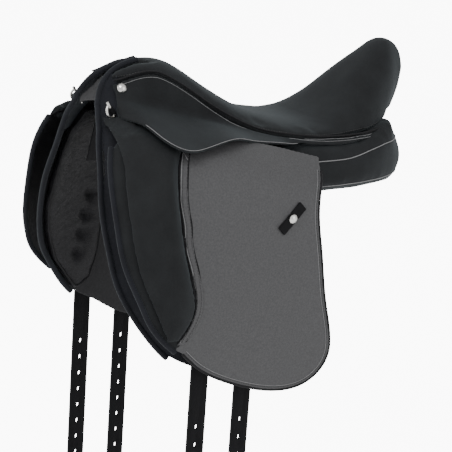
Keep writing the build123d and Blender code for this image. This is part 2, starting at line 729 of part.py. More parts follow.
def make_dee():
    """Front dee and the chape that holds its straight side."""
    place = Pos(*DEE_CENTRE) * Rot(DEE_TILT, 0, 0)
    ring = Rot(0, 90, 0) * Torus(DEE_HALF, DEE_WIRE_R)
    front_half = Pos(0, -5 * DEE_HALF, 0) * Box(4 * DEE_HALF, 10 * DEE_HALF, 6 * DEE_HALF)
    bar = Cylinder(DEE_BAR_R, 2 * DEE_HALF + 4 * DEE_BAR_R)
    write_pair("front_dee", place * Rot(0, 0, DEE_TURN) * ((ring & front_half) + bar))
    sleeve = Cylinder(DEE_BAR_R + CHAPE_THICK, CHAPE_HEIGHT)
    tab_x = -DEE_BAR_R - CHAPE_REACH / 2
    tab = Pos(tab_x, 0, 0) * Box(CHAPE_REACH, CHAPE_THICK, CHAPE_HEIGHT)
    bore = Cylinder(DEE_BAR_R + PIN_CLEARANCE, 3 * CHAPE_HEIGHT)
    write_pair("dee_chape", place * ((sleeve + tab) - bore))


os.makedirs("parts", exist_ok=True)
make_seat()
make_seat_welt()
make_tree()
make_head_plate()
make_pommel()
make_skirts()
make_flap()
make_flap_roll()
make_flap_band()
make_block()
make_keeper()
make_sweat_flap()
make_panel_front()
make_panel()
make_straps()
make_stirrup_bar()
make_nail()
make_dee()
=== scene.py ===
"""Looks of the english saddle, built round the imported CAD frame.

Metres; -Y to the pommel, +X to the left side, +Z up.
"""

import json
import math

import bmesh
import bpy
import numpy as np
from mathutils import Matrix, Vector
from mathutils.bvhtree import BVHTree


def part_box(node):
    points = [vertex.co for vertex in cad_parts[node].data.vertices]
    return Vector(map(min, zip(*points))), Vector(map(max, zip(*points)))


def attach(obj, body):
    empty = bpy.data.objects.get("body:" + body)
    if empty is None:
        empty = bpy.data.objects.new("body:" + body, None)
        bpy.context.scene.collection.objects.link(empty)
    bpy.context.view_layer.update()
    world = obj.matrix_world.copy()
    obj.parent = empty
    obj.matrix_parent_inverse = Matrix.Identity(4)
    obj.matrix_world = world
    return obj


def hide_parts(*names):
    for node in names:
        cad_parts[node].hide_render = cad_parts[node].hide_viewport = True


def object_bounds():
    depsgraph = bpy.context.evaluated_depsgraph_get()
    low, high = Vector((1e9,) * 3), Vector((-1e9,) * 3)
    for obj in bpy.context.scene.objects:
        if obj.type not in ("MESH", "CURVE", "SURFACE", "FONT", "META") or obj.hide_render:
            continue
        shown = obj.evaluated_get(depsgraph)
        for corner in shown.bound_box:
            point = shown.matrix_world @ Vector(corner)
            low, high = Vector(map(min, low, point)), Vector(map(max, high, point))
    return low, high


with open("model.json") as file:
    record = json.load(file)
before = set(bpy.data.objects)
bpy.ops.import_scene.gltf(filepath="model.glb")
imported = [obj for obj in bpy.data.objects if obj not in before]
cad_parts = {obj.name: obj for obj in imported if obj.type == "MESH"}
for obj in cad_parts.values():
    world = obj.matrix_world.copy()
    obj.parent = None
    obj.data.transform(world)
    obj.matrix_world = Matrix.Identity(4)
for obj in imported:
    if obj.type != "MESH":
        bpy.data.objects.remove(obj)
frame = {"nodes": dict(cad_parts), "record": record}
CAD_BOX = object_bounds()

MM = 0.001
SIDES = {"left": 1, "right": -1}

# ---- camera and room ----
CAMERA_PLACE = Vector((1.8077, -1.2060, 0.5706))
CAMERA_TARGET = Vector((0.0, -0.050, -0.065))
CAMERA_ROLL = math.radians(4.1)
LENS = 128.3
SENSOR = 36.0
FLOOR_DROP = 0.02
FLOOR_SIZE = 12.0              # half of the floor's width
FLOOR_GLOW = 9.0               # how bright the floor looks; it lights the saddle by much less
FLOOR_BOUNCE = 0.3
LIGHTS_AIM = Vector((0, -0.05, -0.05))
# Lights as (name, place, size, power).
LIGHTS = (
    ("key", (0.9, -1.6, 2.2), 1.2, 38),
    ("fill", (2.4, 0.9, 0.9), 1.8, 16),
    ("front", (-1.2, -2.2, 0.4), 1.4, 18),
)

SHEET_VOXEL = 1.5 * MM
PAD_VOXEL = 4.5 * MM
BLOCK_VOXEL = 1.5 * MM
LEAF_VOXEL = 2.0 * MM
CALM_ROUNDS = 5
FINE_ENOUGH = 2.5 * MM         # a skin finer than this needs no subdivision
STITCH_PITCH = 3.8 * MM
STITCH_LENGTH = 2.7 * MM
STITCH_RADIUS = 0.5 * MM
SEAT_DEPTH = 14 * MM
SEAT_VOXEL = 3.0 * MM
SEAT_ROWS = 150
SEAT_COLUMNS = 71
CANTLE_STEPS = 8
CANTLE_FROM = 0.130
CANTLE_FADE = 0.080
# Lean of the cantle's back, as (height, shift back).
CANTLE_LEAN = (
    (0.080, -0.015), (0.100, -0.010), (0.125, 0.000), (0.150, 0.006), (0.170, 0.005), (0.192, 0.001),
)
DOWN = Vector((0, 0, -1))
ABOVE_ALL = 0.3                # height over the whole saddle, where rays start down from
SKIRT_OUT = 0.6                # the way a skirt faces, as its share outwards and upwards
SKIRT_UP = 0.8
FOLD_EASE = 22 * MM
FOLD_ROUNDS = 90
FOLD_BRIDGE = (-0.8 * MM, 4 * MM)   # points moved to close the CAD's gap at the fold
FOLD_CLOSE = 1.8 * MM
PUFF_PRESSURE = 4.0
PUFF_STIFFNESS = 12
PUFF_FRAMES = 20
PAD_PUFF = 6 * MM              # the most that the cloth may swell each pad
BLOCK_PUFF = 4 * MM
DROP_PUFF = 5 * MM
SEAT_PUFF = 2.5 * MM
EDGE_REACH = 9 * MM
SWEAT_REACH = 14 * MM
ROLL_BITE = 1.5 * MM           # how far a sheet's edge is sewn into its roll
WELT_END_Y = 0.168
TUCK_REACH = 36 * MM
TUCK_ROOM = 6.5 * MM           # sheet thickness and a little air
FLAP_TOP_BAND = 38 * MM        # the part of the flap's top that is carried up, below the fold line
FLAP_RAISE = 9 * MM
FLAP_RAISE_FROM = -0.215       # the flap's top is carried up behind this place
FLAP_LEAN_FRONT = 1.7          # inward move of the raised edge for each unit of its rise
FLAP_LEAN_DROP = 0.9           # how much smaller that move is at the rear
FLAP_LEAN_CHANGE = -0.06       # place along the saddle where the lean starts to change
BAND_FOOT_SLOPE = 0.72         # how fast the foot of the band runs forward as it drops
BLOCK_RAISE_Y = -0.205
BLOCK_RAISE_Z = 0.075
BLOCK_RAISE = 1.1              # rise for each unit of height over that level
BLOCK_LEAN = 1.25              # inward move for each unit of rise
# Tufts of the panel's front drop, as shares of its length and height.
TUFTS = ((0.62, 0.50), (0.57, 0.40), (0.53, 0.30), (0.49, 0.20))
LOBE_FROM = 0.105
LOBE_BASE = 0.032
LOBE_RAISE = 19 * MM
LOBE_MIDDLE_FROM = -0.03
LOBE_MIDDLE_RAISE = 16 * MM
LOBE_SLOPE = 20 * MM
LOBE_SLOPE_FROM = 0.15
LOBE_TURN = (0.045, 0.135)     # middle of the turn of the rear panel, out and along
LOBE_TURN_DEGREES = 78
LOWER_SEAM_Z = 0.014           # the rear panel's two piped seams
UPPER_SEAM_Z = 0.050
UPPER_SEAM_RISE = 0.014        # how much the upper seam climbs to the rear
TUFT_DEPTH = 7 * MM
TUFT_REACH = 9 * MM
GUSSET_TOP = 0.162
GUSSET_BOTTOM = 0.072
GUSSET_FOLLOWS_SWEAT = 0.112   # under this height the gusset's back lies on the sweat flap
GUSSET_BACK_Y = -0.238
GUSSET_STEPS = 8
ROLL_END_Y = -0.222
FLAP_CORNER_Z = 0.046          # top of the flap's bound rear edge
FLAP_FRONT_CORNER_Z = -0.20    # top of its bound front edge
JOINING_ROLL_R = 4.2 * MM      # cord between the pommel's binding and the sweat flap's roll

# ---- trims ----
SEAM_PITCH = 3 * MM            # spacing of the points along a line of piping
CLOSE_LIFT = 0.05 * MM         # how far a thin line stands off the sheet it lies on
STITCH_LIFT = 0.1 * MM
RIM_FACING = 0.45              # a sheet's face counts where it points the sheet's way this much
PIPING_LIFT = 0.3 * MM
FINE_LINE_R = 0.35 * MM
EDGE_LINE_R = 0.45 * MM
PANEL_PIPING_R = 0.7 * MM
DROP_PIPING_R = 1.6 * MM
BINDING_R = 1.9 * MM
BINDING_DEPTH = 1.2 * MM       # how far the binding's middle lies inside the flap's face
FLAP_STITCHES_IN = 4.2 * MM    # rows beside the flap's edge, measured from the edge
FLAP_LINE_IN = 6.0 * MM
LEAF_LINE_IN = 1.2 * MM
BAND_LINE_IN = 1.4 * MM
BAND_ROWS = (-2.6 * MM, 2.8 * MM)   # the band's two rows of stitches
# Lines beside the band as (name, shift along the saddle, radius).
BAND_EDGE = ("band_line_", -4.6 * MM, 0.5 * MM)
BAND_SHADOWS = (("band_shadow_front_", -6.3 * MM, 0.9 * MM), ("band_shadow_back_", 5.2 * MM, 0.8 * MM))
SEAT_STITCHES_UP = 4.5 * MM    # seams above and below the seat's welt
SKIRT_SEAM_OUT = 3 * MM
SKIRT_SEAM_DOWN = 6.5 * MM

# ---- materials' grain: features per metre ----
NAP_BLOTCHES = 26
NAP_FIBRES = 1500
LEATHER_TONES = 420
WEAVE_LINES = 220
WEBBING_WEAR = 60
METAL_MARKS = 900
METAL_TARNISH = 130
MOULD_GRIT = 700
MOULD_TONES = 25
THREAD_TWIST = 1800


# ---- materials ----
def new_material(name):
    material = bpy.data.materials.new(name)
    material.use_nodes = True
    nodes, links = material.node_tree.nodes, material.node_tree.links
    shader = nodes["Principled BSDF"]
    place = nodes.new("ShaderNodeTexCoord").outputs["Object"]
    return material, nodes, links, shader, place


def noise(nodes, links, place, scale, detail=4.0, rough=0.55):
    node = nodes.new("ShaderNodeTexNoise")
    node.inputs["Scale"].default_value = scale
    node.inputs["Detail"].default_value = detail
    node.inputs["Roughness"].default_value = rough
    links.new(place, node.inputs["Vector"])
    return node.outputs["Fac"]


def ramp(nodes, links, value, low, high, start=0.3, end=0.7):
    node = nodes.new("ShaderNodeMapRange")
    node.inputs["From Min"].default_value = start
    node.inputs["From Max"].default_value = end
    node.inputs["To Min"].default_value = low
    node.inputs["To Max"].default_value = high
    links.new(value, node.inputs["Value"])
    return node.outputs["Result"]


def tint(nodes, links, value, dark, light):
    node = nodes.new("ShaderNodeMix")
    node.data_type = "RGBA"
    node.inputs["A"].default_value = (*dark, 1)
    node.inputs["B"].default_value = (*light, 1)
    links.new(value, node.inputs["Factor"])
    return node.outputs["Result"]


def bump(nodes, links, shader, height, strength, distance, under=None):
    node = nodes.new("ShaderNodeBump")
    node.inputs["Strength"].default_value = strength
    node.inputs["Distance"].default_value = distance
    links.new(height, node.inputs["Height"])
    if under is not None:
        links.new(under, node.inputs["Normal"])
    links.new(node.outputs["Normal"], shader.inputs["Normal"])
    return node.outputs["Normal"]


def suede(name, dark, light, sheen=0.35):
    """Napped synthetic suede: soft blotches where the nap lies over, fine fibre and a faint sheen."""
    material, nodes, links, shader, place = new_material(name)
    blotch = ramp(nodes, links, noise(nodes, links, place, NAP_BLOTCHES, 6, 0.6), 0, 1, 0.32, 0.68)
    fibre = noise(nodes, links, place, NAP_FIBRES, 2, 0.7)
    links.new(tint(nodes, links, blotch, dark, light), shader.inputs["Base Color"])
    links.new(ramp(nodes, links, fibre, 0.72, 0.95), shader.inputs["Roughness"])
    shader.inputs["Sheen Weight"].default_value = sheen
    shader.inputs["Sheen Roughness"].default_value = 0.45
    shader.inputs["Sheen Tint"].default_value = (0.55, 0.68, 0.74, 1)
    shader.inputs["Specular IOR Level"].default_value = 0.25
    soft = bump(nodes, links, shader, blotch, 0.15, 0.6 * MM)
    bump(nodes, links, shader, fibre, 0.25, 0.15 * MM, soft)
    return material


def leather(name, dark, light, cell, depth, rough=(0.38, 0.6), gloss=0.4):
    """Grained leather: cells with creases between them, over a slow change of tone."""
    material, nodes, links, shader, place = new_material(name)
    warp = nodes.new("ShaderNodeVectorMath")
    warp.operation = "MULTIPLY_ADD"
    soft = nodes.new("ShaderNodeTexNoise")
    soft.inputs["Scale"].default_value = 0.35 / cell
    links.new(place, soft.inputs["Vector"])
    links.new(soft.outputs["Color"], warp.inputs[0])
    warp.inputs[1].default_value = (1.6 * cell,) * 3
    links.new(place, warp.inputs[2])
    grain = nodes.new("ShaderNodeTexVoronoi")
    grain.feature = "DISTANCE_TO_EDGE"
    grain.inputs["Scale"].default_value = 1 / cell
    links.new(warp.outputs["Vector"], grain.inputs["Vector"])
    creases = ramp(nodes, links, grain.outputs["Distance"], 0, 1, 0.0, 0.18)
    tone = ramp(nodes, links, noise(nodes, links, place, LEATHER_TONES, 3), 0, 1)
    links.new(tint(nodes, links, tone, dark, light), shader.inputs["Base Color"])
    links.new(ramp(nodes, links, creases, rough[1], rough[0], 0, 1), shader.inputs["Roughness"])
    shader.inputs["Specular IOR Level"].default_value = gloss
    first = bump(nodes, links, shader, creases, 0.5, depth)
    bump(nodes, links, shader, noise(nodes, links, place, 2.5 / cell, 3), 0.2, depth, first)
    return material


def webbing(name):
    """Coated woven webbing: a diagonal weave under a matt coat, worn paler in patches."""
    material, nodes, links, shader, place = new_material(name)
    weave = nodes.new("ShaderNodeTexWave")
    weave.bands_direction = "DIAGONAL"
    weave.inputs["Scale"].default_value = WEAVE_LINES
    weave.inputs["Distortion"].default_value = 0.6
    links.new(place, weave.inputs["Vector"])
    wear = ramp(nodes, links, noise(nodes, links, place, WEBBING_WEAR), 0, 1)
    tone = tint(nodes, links, wear, (0.0035, 0.0035, 0.004), (0.008, 0.008, 0.009))
    links.new(tone, shader.inputs["Base Color"])
    links.new(ramp(nodes, links, wear, 0.6, 0.75), shader.inputs["Roughness"])
    shader.inputs["Specular IOR Level"].default_value = 0.08
    bump(nodes, links, shader, weave.outputs["Fac"], 0.3, 0.2 * MM)
    return material


def metal(name, tone, rough):
    """Plated metal with fine scratches and a little tarnish."""
    material, nodes, links, shader, place = new_material(name)
    marks = noise(nodes, links, place, METAL_MARKS, 6, 0.7)
    tarnish = ramp(nodes, links, noise(nodes, links, place, METAL_TARNISH), 0, 1)
    dark = tuple(0.78 * c for c in tone)
    links.new(tint(nodes, links, tarnish, dark, tone), shader.inputs["Base Color"])
    shader.inputs["Metallic"].default_value = 1.0
    links.new(ramp(nodes, links, marks, rough, rough + 0.14), shader.inputs["Roughness"])
    bump(nodes, links, shader, marks, 0.08, 0.05 * MM)
    return material


def moulded(name, tone):
    """Moulded plastic with a light mould texture."""
    material, nodes, links, shader, place = new_material(name)
    grit = noise(nodes, links, place, MOULD_GRIT, 3)
    tone_change = ramp(nodes, links, noise(nodes, links, place, MOULD_TONES), 0, 1)
    light = tuple(1.5 * c for c in tone)
    links.new(tint(nodes, links, tone_change, tone, light), shader.inputs["Base Color"])
    links.new(ramp(nodes, links, grit, 0.5, 0.66), shader.inputs["Roughness"])
    shader.inputs["Specular IOR Level"].default_value = 0.12
    bump(nodes, links, shader, grit, 0.15, 0.1 * MM)
    return material


def thread(name, tone):
    """Twisted sewing thread."""
    material, nodes, links, shader, place = new_material(name)
    twist = noise(nodes, links, place, THREAD_TWIST, 2)
    light = tuple(min(1, 1.6 * c) for c in tone)
    links.new(tint(nodes, links, twist, tone, light), shader.inputs["Base Color"])
    shader.inputs["Roughness"].default_value = 0.6
    bump(nodes, links, shader, twist, 0.3, 0.1 * MM)
    return material


SUEDE = suede("suede_black", (0.0036, 0.0041, 0.0048), (0.0078, 0.0088, 0.0098), 0.105)
SUEDE_EDGE = suede("suede_edge", (0.0026, 0.0030, 0.0052), (0.0058, 0.0066, 0.0100), 0.075)
FLAP_PANEL = leather(
    "flap_panel", (0.036, 0.036, 0.038), (0.054, 0.054, 0.056), 0.9 * MM, 0.14 * MM, (0.42, 0.55), 0.35
)
GRAINED = leather(
    "grained_leather", (0.007, 0.007, 0.008), (0.014, 0.014, 0.016), 2.5 * MM, 0.8 * MM, (0.3, 0.5), 0.16
)
FACING = leather(
    "facing_leather", (0.020, 0.020, 0.022), (0.034, 0.034, 0.036), 1.1 * MM, 0.15 * MM, (0.36, 0.5), 0.35
)
SWEAT = leather(
    "sweat_leather", (0.010, 0.010, 0.011), (0.016, 0.016, 0.018), 1.0 * MM, 0.15 * MM, (0.45, 0.6), 0.2
)
PIPING = leather(
    "piping", (0.005, 0.005, 0.006), (0.009, 0.009, 0.010), 1.0 * MM, 0.1 * MM, (0.55, 0.7), 0.15
)
GREY_PIPING = leather(
    "grey_piping", (0.13, 0.13, 0.134), (0.19, 0.19, 0.194), 0.8 * MM, 0.1 * MM, (0.4, 0.55), 0.3
)
WEBBING = webbing("webbing")
# Painted shade: the gullet plate is coloured near black to stand for the shaded channel under the pommel,
# where the panels hide it.
GULLET_SHADE_BLACK = moulded("gullet_painted_shade", (0.008, 0.008, 0.009))
STEEL = metal("zinc_steel", (0.42, 0.43, 0.45), 0.34)
BRIGHT = metal("bright_nickel", (0.72, 0.71, 0.68), 0.2)
TREE = moulded("tree_shell", (0.02, 0.02, 0.022))
BLACK_THREAD = thread("black_thread", (0.012, 0.012, 0.013))


# ---- mesh helpers ----
def node_mesh(*names):
    """One welded mesh copy of some CAD nodes."""
    bm = bmesh.new()
    for name in names:
        bm.from_mesh(frame["nodes"][name].data)
    bmesh.ops.remove_doubles(bm, verts=bm.verts, dist=0.01 * MM)
    return bm


def add_object(bm, name, material):
    """A new object from a bmesh, which is freed."""
    mesh = bpy.data.meshes.new(name)
    bm.to_mesh(mesh)
    bm.free()
    obj = bpy.data.objects.new(name, mesh)
    bpy.context.scene.collection.objects.link(obj)
    mesh.materials.append(material)
    return obj


def apply_modifiers(obj):
    """Bake an object's modifiers into its mesh."""
    graph = bpy.context.evaluated_depsgraph_get()
    baked = bpy.data.meshes.new_from_object(obj.evaluated_get(graph))
    old = obj.data
    obj.modifiers.clear()
    obj.data = baked
    bpy.data.meshes.remove(old)


def remesh(obj, voxel, rounds):
    """Even skin over an object, relaxed so its edges roll over."""
    skin = obj.modifiers.new("skin", "REMESH")
    skin.mode = "VOXEL"
    skin.voxel_size = voxel
    soft = obj.modifiers.new("soft", "SMOOTH")
    soft.factor = 0.5
    soft.iterations = rounds
    apply_modifiers(obj)


def smooth_shade(obj):
    obj.data.shade_smooth()


def coordinates(obj):
    co = np.zeros(len(obj.data.vertices) * 3)
    obj.data.vertices.foreach_get("co", co)
    return co.reshape(-1, 3)


def set_coordinates(obj, co):
    obj.data.vertices.foreach_set("co", np.asarray(co, float).ravel())
    obj.data.update()


def ease(share):
    """Smooth step of a share between 0 and 1."""
    share = np.clip(share, 0, 1)
    return share * share * (3 - 2 * share)


def refine(obj):
    """One smooth subdivision."""
    fine = obj.modifiers.new("fine", "SUBSURF")
    fine.levels = 1
    fine.render_levels = 1
    apply_modifiers(obj)


def puff(obj, cap):
    """Blow a closed pad up a little with cloth, no point moving further than the cap."""
    rest = coordinates(obj)
    cloth = obj.modifiers.new("cloth", "CLOTH")
    cloth.settings.use_pressure = True
    cloth.settings.uniform_pressure_force = PUFF_PRESSURE
    cloth.settings.effector_weights.gravity = 0
    cloth.settings.quality = 4
    cloth.settings.mass = 0.3
    cloth.settings.tension_stiffness = PUFF_STIFFNESS
    cloth.settings.compression_stiffness = PUFF_STIFFNESS
    cloth.settings.bending_stiffness = 0.3
    cloth.point_cache.frame_start = 1
    cloth.point_cache.frame_end = PUFF_FRAMES
    for step in range(1, PUFF_FRAMES + 1):
        bpy.context.scene.frame_set(step)
    apply_modifiers(obj)
    bpy.context.scene.frame_set(1)
    moved = coordinates(obj) - rest
    length = np.linalg.norm(moved, axis=1, keepdims=True)
    moved *= np.minimum(1, cap / np.maximum(length, 1e-9))
    set_coordinates(obj, rest + moved)


def calm(obj):
    """Ease the small crumples out of a skin and keep its swell."""
    soft = obj.modifiers.new("calm", "SMOOTH")
    soft.factor = 0.5
    soft.iterations = CALM_ROUNDS
    apply_modifiers(obj)


def finish_piece(obj, body, stands_for):
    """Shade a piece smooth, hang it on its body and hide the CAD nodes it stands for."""
    smooth_shade(obj)
    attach(obj, body)
    if stands_for:
        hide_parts(*stands_for)
    return obj


def tree_of(obj):
    """Search tree over an object's mesh."""
    obj.data.calc_loop_triangles()
    faces = [p.vertices for p in obj.data.polygons]
    return BVHTree.FromPolygons([v.co for v in obj.data.vertices], faces)


def rim(node, facing):
    """Outline of the side of a CAD node that faces one way, as an ordered closed loop."""
    bm = node_mesh(node)
    bm.normal_update()
    way = Vector(facing).normalized()
    keep = {f for f in bm.faces if f.normal.dot(way) > RIM_FACING}
    edges = [e for e in bm.edges if sum(f in keep for f in e.link_faces) == 1]
    ways = {}
    for e in edges:
        a, b = e.verts
        ways.setdefault(a.index, []).append(b.index)
        ways.setdefault(b.index, []).append(a.index)
    bm.verts.ensure_lookup_table()
    loops, seen = [], set()
    for start in ways:
        if start in seen:
            continue
        loop, here, before = [], start, None
        while here is not None and here not in seen:
            seen.add(here)
            loop.append(bm.verts[here].co.copy())
            onward = [n for n in ways[here] if n != before and n not in seen]
            before, here = here, (onward[0] if onward else None)
        loops.append(loop)
    bm.free()
    return max(loops, key=lambda l: sum((l[i] - l[i - 1]).length for i in range(1, len(l))))


def spaced(points, pitch, closed=False):
    """Points at an even pitch along a polyline."""
    line = [Vector(p) for p in points]
    if closed:
        line.append(line[0])
    gaps = [(line[i + 1] - line[i]).length for i in range(len(line) - 1)]
    total = sum(gaps)
    count = max(2, int(total / pitch))
    out, at, run = [], 0, 0.0
    for k in range(count + (0 if closed else 1)):
        want = total * k / count
        while at < len(gaps) - 1 and run + gaps[at] < want:
            run += gaps[at]
            at += 1
        share = (want - run) / gaps[at] if gaps[at] > 0 else 0
        out.append(line[at].lerp(line[at + 1], min(1, share)))
    return out


def eased(points, rounds, closed=False):
    """Polyline with its corners relaxed."""
    line = [Vector(p) for p in points]
    count = len(line)
    for _ in range(rounds):
        new = []
        for i in range(count):
            if not closed and i in (0, count - 1):
                new.append(line[i])
                continue
            new.append(line[i] * 0.5 + (line[i - 1] + line[(i + 1) % count]) * 0.25)
        line = new
    return line


def drawn_in(points, distance, facing):
    """Open line moved sideways in the plane across a facing, towards the inside of its curve."""
    way = Vector(facing).normalized()
    centre = sum(points, Vector()) / len(points)
    out = []
    for i, p in enumerate(points):
        after = points[min(i + 1, len(points) - 1)]
        before = points[max(i - 1, 0)]
        side = (after - before).cross(way)
        if side.length < 1e-9:
            continue
        side.normalize()
        out.append((p, side))
    turn = sum(side.dot(centre - p) for p, side in out)
    sign = 1 if turn > 0 else -1
    return [p + side * sign * distance for p, side in out]


def laid_on(points, surface, facing, lift):
    """Points dropped on to a surface along its facing, kept with the surface's normal."""
    way = Vector(facing).normalized()
    out = []
    for p in points:
        hit, normal, _, _ = surface.ray_cast(p + way * 0.06, -way, 0.14)
        if hit is None:
            hit, normal, _, _ = surface.find_nearest(p, 0.05)
        if hit is None:
            continue
        if normal.dot(way) < 0:
            normal = -normal
        out.append((hit + normal * lift, normal))
    return out


def stitch_mesh(bm, placed, length, radius):
    """Short rounded threads end to end along placed points."""
    for i in range(len(placed) - 1):
        (a, na), (b, _) = placed[i], placed[i + 1]
        along = b - a
        if along.length < 1e-6 or along.length > 3.0 * STITCH_PITCH:
            continue
        along.normalize()
        side = along.cross(na).normalized()
        middle = a + along * length / 2
        rings = ((-0.5, 0.25), (-0.3, 0.9), (0.0, 1.15), (0.3, 0.9), (0.5, 0.25))
        built = []
        for share, wide in rings:
            ring = []
            for k in range(6):
                turn = math.tau * k / 6
                off = side * math.cos(turn) * radius * wide + na * math.sin(turn) * radius * 0.8 * wide
                ring.append(bm.verts.new(middle + along * share * length + off))
            built.append(ring)
        for low, high in zip(built, built[1:]):
            for k in range(6):
                bm.faces.new((low[k], low[(k + 1) % 6], high[(k + 1) % 6], high[k]))
        bm.faces.new(list(reversed(built[0])))
        bm.faces.new(built[-1])


def stitches(name, rows, body):
    """One piece holding several rows of black stitches."""
    bm = bmesh.new()
    for placed in rows:
        stitch_mesh(bm, placed, STITCH_LENGTH, STITCH_RADIUS)
    bmesh.ops.recalc_face_normals(bm, faces=bm.faces)
    obj = add_object(bm, name, BLACK_THREAD)
    return finish_piece(obj, body, ())


def cord(bm, placed, radius, closed):
    """Round piping along placed points."""
    sides = 8
    rings = []
    count = len(placed)
    for i, (p, normal) in enumerate(placed):
        after = placed[(i + 1) % count][0] if closed or i + 1 < count else p
        before = placed[i - 1][0] if closed or i > 0 else p
        along = (after - before).normalized()
        side = along.cross(normal).normalized()
        up = side.cross(along).normalized()
        ring = []
        for k in range(sides):
            turn = math.tau * k / sides
            off = side * math.cos(turn) * radius + up * math.sin(turn) * radius
            ring.append(bm.verts.new(p + off))
        rings.append(ring)
    pairs = list(zip(rings, rings[1:])) + ([(rings[-1], rings[0])] if closed else [])
    for low, high in pairs:
        for k in range(sides):
            bm.faces.new((low[k], low[(k + 1) % sides], high[(k + 1) % sides], high[k]))
    if not closed:
        bm.faces.new(list(reversed(rings[0])))
        bm.faces.new(rings[-1])


def piping(name, placed, radius, body, material, closed=False):
    bm = bmesh.new()
    cord(bm, placed, radius, closed)
    bmesh.ops.recalc_face_normals(bm, faces=bm.faces)
    obj = add_object(bm, name, material)
    return finish_piece(obj, body, ())


def outward(side):
    return Vector((SIDES[side], 0, 0))


def skirt_way(side):
    """The way a skirt faces, out and up."""
    return Vector((SKIRT_OUT * SIDES[side], 0, SKIRT_UP))


# ---- pieces ----
def sheet(name, node, body, material, voxel=SHEET_VOXEL, rounds=6):
    """A leather or suede sheet: the CAD sheet with an even skin and rolled edges."""
    obj = add_object(node_mesh(node), name, material)
    remesh(obj, voxel, rounds)
    return finish_piece(obj, body, (node,))


def pad(name, nodes, body, material, voxel, rounds, cap, shape=None):
    """A stuffed pad: CAD core and cover under one even skin, shaped, then blown up with cloth."""
    obj = add_object(node_mesh(*nodes), name, material)
    remesh(obj, voxel, rounds)
    if shape:
        shape(obj)
    puff(obj, cap)
    calm(obj)
    if voxel > FINE_ENOUGH:
        refine(obj)
    return finish_piece(obj, body, nodes)


def reach(surface, y):
    """Half width of a surface at one place along the saddle, found from outside."""
    x = 0.12
    while x > 0 and surface.ray_cast(Vector((x, y, ABOVE_ALL)), DOWN)[0] is None:
        x -= 0.25 * MM
    return x


def cantle_shift(height):
    """How far the back of the cantle leans out at a height: its base is drawn in under its top."""
    heights, shifts = zip(*CANTLE_LEAN)
    return np.interp(height, heights, shifts)


def leaned(co):
    """Points drawn in round the base of the cantle and leaned back at its top."""
    weight = ease((co[:, 1] - CANTLE_FROM) / CANTLE_FADE)
    moved = co.copy()
    moved[:, 1] += weight * cantle_shift(co[:, 2])
    return moved


def lean_cantle(obj):
    set_coordinates(obj, leaned(coordinates(obj)))


def carried(points, change):
    """A line of points put through the same change as the piece it lies on."""
    return [Vector(p) for p in change(np.array(points))]


def make_seat():
    """Seat: an even grid over the CAD cover, closed down the back, thickened and softly blown up."""
    cover = BVHTree.FromBMesh(node_mesh("seat_cover"))
    low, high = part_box("seat_cover")
    bm = bmesh.new()
    grid = []
    for i in range(SEAT_ROWS):
        y = low.y + 0.3 * MM + (high.y - low.y - 0.6 * MM) * i / (SEAT_ROWS - 1)
        half = reach(cover, y)
        line = []
        for k in range(SEAT_COLUMNS):
            x = half * math.sin((k / (SEAT_COLUMNS - 1) - 0.5) * math.pi)
            line.append(cover.ray_cast(Vector((x, y, ABOVE_ALL)), DOWN)[0])
        grid.append(line)
    back = grid[-1]
    base = min(p.z for p in back if p)
    for step in range(1, CANTLE_STEPS + 1):
        share = step / CANTLE_STEPS
        grid.append([p and Vector((p.x, p.y + 0.5 * MM * share, p.z + (base - p.z) * share)) for p in back])
    made = [[p and bm.verts.new(p) for p in line] for line in grid]
    for near, far in zip(made, made[1:]):
        for k in range(SEAT_COLUMNS - 1):
            corners = (near[k], near[k + 1], far[k + 1], far[k])
            if all(corners):
                bm.faces.new(corners)
    bmesh.ops.remove_doubles(bm, verts=bm.verts, dist=0.1 * MM)
    bmesh.ops.dissolve_degenerate(bm, edges=bm.edges, dist=0.01 * MM)
    obj = add_object(bm, "seat", SUEDE)
    wall = obj.modifiers.new("wall", "SOLIDIFY")
    wall.thickness = SEAT_DEPTH
    wall.offset = -1
    remesh(obj, SEAT_VOXEL, 7)
    lean_cantle(obj)
    puff(obj, SEAT_PUFF)
    calm(obj)
    refine(obj)
    finish_piece(obj, "saddle", ("seat_cover", "seat_foam"))
    return obj


def skirt_hinge(side):
    """Point on the fold line, its direction and the sheet's outward direction there."""
    joint = next(j for j in frame["record"]["behaviour"]["joints"] if j["name"] == side + "_skirt_lift")
    return Vector(joint["pos_m"]), Vector(joint["axis"]).normalized(), skirt_way(side)


def fold_distance(co, side):
    """Distance of points from the fold line, measured across the sheet; positive on the leaf's side."""
    at, axis, push = skirt_hinge(side)
    across = axis.cross(push).normalized()
    if across.x * SIDES[side] < 0:
        across = -across
    return (co - np.array(at)) @ np.array(across), across


def make_skirt(side):
    """Strip and skirt leaf eased as one sheet, then parted along the fold so that the leaf can lift."""
    obj = add_object(node_mesh("skirt_band_" + side, "skirt_" + side), "skirt_strip_" + side, SUEDE)
    co = coordinates(obj)
    beyond, across = fold_distance(co, side)
    bridging = (beyond > FOLD_BRIDGE[0]) & (beyond < FOLD_BRIDGE[1])
    co[bridging] -= np.array(across) * FOLD_CLOSE
    set_coordinates(obj, co)
    remesh(obj, SHEET_VOXEL, 5)
    lean_cantle(obj)
    near_fold = obj.vertex_groups.new(name="near_fold")
    co = coordinates(obj)
    beyond, across = fold_distance(co, side)
    for i, weight in enumerate(ease(1 - np.abs(beyond) / FOLD_EASE)):
        if weight > 0:
            near_fold.add([i], float(weight), "REPLACE")
    soft = obj.modifiers.new("crease", "SMOOTH")
    soft.factor = 0.5
    soft.iterations = FOLD_ROUNDS
    soft.vertex_group = "near_fold"
    apply_modifiers(obj)
    at = skirt_hinge(side)[0]
    leaf = part_off(obj, "skirt_leaf_" + side, at, across)
    finish_piece(obj, "saddle", ("skirt_band_" + side,))
    finish_piece(leaf, "skirt_" + side, ("skirt_" + side,))
    return obj, leaf


